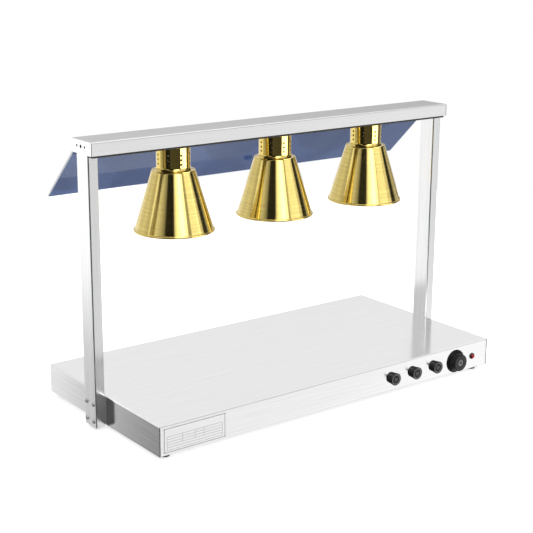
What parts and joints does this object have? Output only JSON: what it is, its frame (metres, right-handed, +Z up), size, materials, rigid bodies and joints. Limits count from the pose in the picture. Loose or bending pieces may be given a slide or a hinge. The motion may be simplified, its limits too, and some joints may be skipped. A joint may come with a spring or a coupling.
{
  "type": "heat lamp warmer",
  "caption": "Countertop food warmer: heated stainless base, posts and beam carrying gold cone-shaded heat lamps, a tinted sloping sneeze guard, and rotary knobs on the front.",
  "frame": {"origin": "on the counter, under the middle of the unit's footprint (bottom centre of the overall box)", "axes": "+X along the beam to the operator's right, -Y towards the operator and the knobs, +Z up"},
  "size_m": [1.0556, 0.536, 0.662],
  "materials": {
    "brushed_stainless": "fine brushed stainless sheet, grain along the long side",
    "brushed_post_tube": "brushed stainless tube, grain along its length",
    "galvanised_steel": "galvanised sheet, faint spangle",
    "bright_fasteners": "bright zinc-plated fasteners",
    "plain_steel": "turned steel",
    "black_rubber": "moulded black rubber",
    "silicone_heater": "orange silicone with a faint weave",
    "glass_fibre_blanket": "needled off-white fibre blanket",
    "cream_ceramic": "glazed cream body",
    "white_ceramic": "glazed white lamp holder",
    "copper": "drawn copper tube",
    "black_knob_plastic": "satin black moulded plastic",
    "black_plastic": "black nylon",
    "cream_plastic": "natural nylon",
    "red_lens": "clear red moulded lens",
    "label_foil": null,
    "black_enamel": "black powder coat",
    "polished_gold": "polished gold anodised spun metal",
    "brushed_gold": "gold anodised spun metal, brushed around its axis",
    "bulb_glass": "frosted lamp glass",
    "cable_sheath": "silicone-sheathed lamp cable",
    "smoked_acrylic": "blue-grey tinted clear acrylic"
  },
  "bodies": {
    "housing": {"base_top_cover": "brushed_stainless", "front_panel": "brushed_stainless", "beam_cover": "brushed_stainless", "left_beam_end_cap": "brushed_stainless", "right_beam_end_cap": "brushed_stainless", "left_post": "brushed_post_tube", "right_post": "brushed_post_tube", "bottom_plate": "galvanised_steel", "corner_brackets": "galvanised_steel", "post_backing_plates": "galvanised_steel", "post_brackets": "galvanised_steel", "heater_clamp_bars": "galvanised_steel", "foot_bolts": "bright_fasteners", "clamp_studs": "bright_fasteners", "post_bolts": "bright_fasteners", "bracket_bolts": "bright_fasteners", "guard_screws": "bright_fasteners", "m5_nuts": "bright_fasteners", "m10_nuts": "bright_fasteners", "foot_front_left": "black_rubber", "foot_front_right": "black_rubber", "foot_rear_left": "black_rubber", "foot_rear_right": "black_rubber", "heating_mat": "silicone_heater", "insulation_blanket": "glass_fibre_blanket", "thermostat_body": "cream_ceramic", "thermostat_capillary": "copper", "pilot_lens": "red_lens", "pilot_body": "black_plastic", "rating_plate": "label_foil", "terminal_block": "cream_plastic", "cable_gland": "black_plastic", "cable_gland_nut": "black_plastic", "post_plugs": "black_plastic", "lamp_rail": "black_enamel", "wiring_harness": "cable_sheath", "sneeze_guard": "smoked_acrylic", "dimmer_body_1": "black_plastic", "lamp_neck_1": "polished_gold", "lamp_shade_1": "brushed_gold", "lamp_holder_1": "white_ceramic", "heat_bulb_1": "bulb_glass", "dimmer_body_2": "black_plastic", "lamp_neck_2": "polished_gold", "lamp_shade_2": "brushed_gold", "lamp_holder_2": "white_ceramic", "heat_bulb_2": "bulb_glass", "dimmer_body_3": "black_plastic", "lamp_neck_3": "polished_gold", "lamp_shade_3": "brushed_gold", "lamp_holder_3": "white_ceramic", "heat_bulb_3": "bulb_glass"},
    "thermostat_dial": {"thermostat_knob": "black_knob_plastic", "thermostat_shaft": "plain_steel"},
    "lamp_dial_1": {"lamp_knob_1": "black_knob_plastic", "dimmer_shaft_1": "plain_steel"},
    "lamp_dial_2": {"lamp_knob_2": "black_knob_plastic", "dimmer_shaft_2": "plain_steel"},
    "lamp_dial_3": {"lamp_knob_3": "black_knob_plastic", "dimmer_shaft_3": "plain_steel"}
  },
  "joints": [
    {"name": "thermostat_turn", "type": "hinge", "parent": "housing", "child": "thermostat_dial", "pos_m": [0.383, -0.26, 0.0455], "axis": [0, 1, 0], "range_deg": [0, 270]},
    {"name": "lamp_dial_1_turn", "type": "hinge", "parent": "housing", "child": "lamp_dial_1", "pos_m": [0.162, -0.26, 0.05], "axis": [0, 1, 0], "range_deg": [0, 270]},
    {"name": "lamp_dial_2_turn", "type": "hinge", "parent": "housing", "child": "lamp_dial_2", "pos_m": [0.233, -0.26, 0.05], "axis": [0, 1, 0], "range_deg": [0, 270]},
    {"name": "lamp_dial_3_turn", "type": "hinge", "parent": "housing", "child": "lamp_dial_3", "pos_m": [0.304, -0.26, 0.05], "axis": [0, 1, 0], "range_deg": [0, 270]}
  ]
}
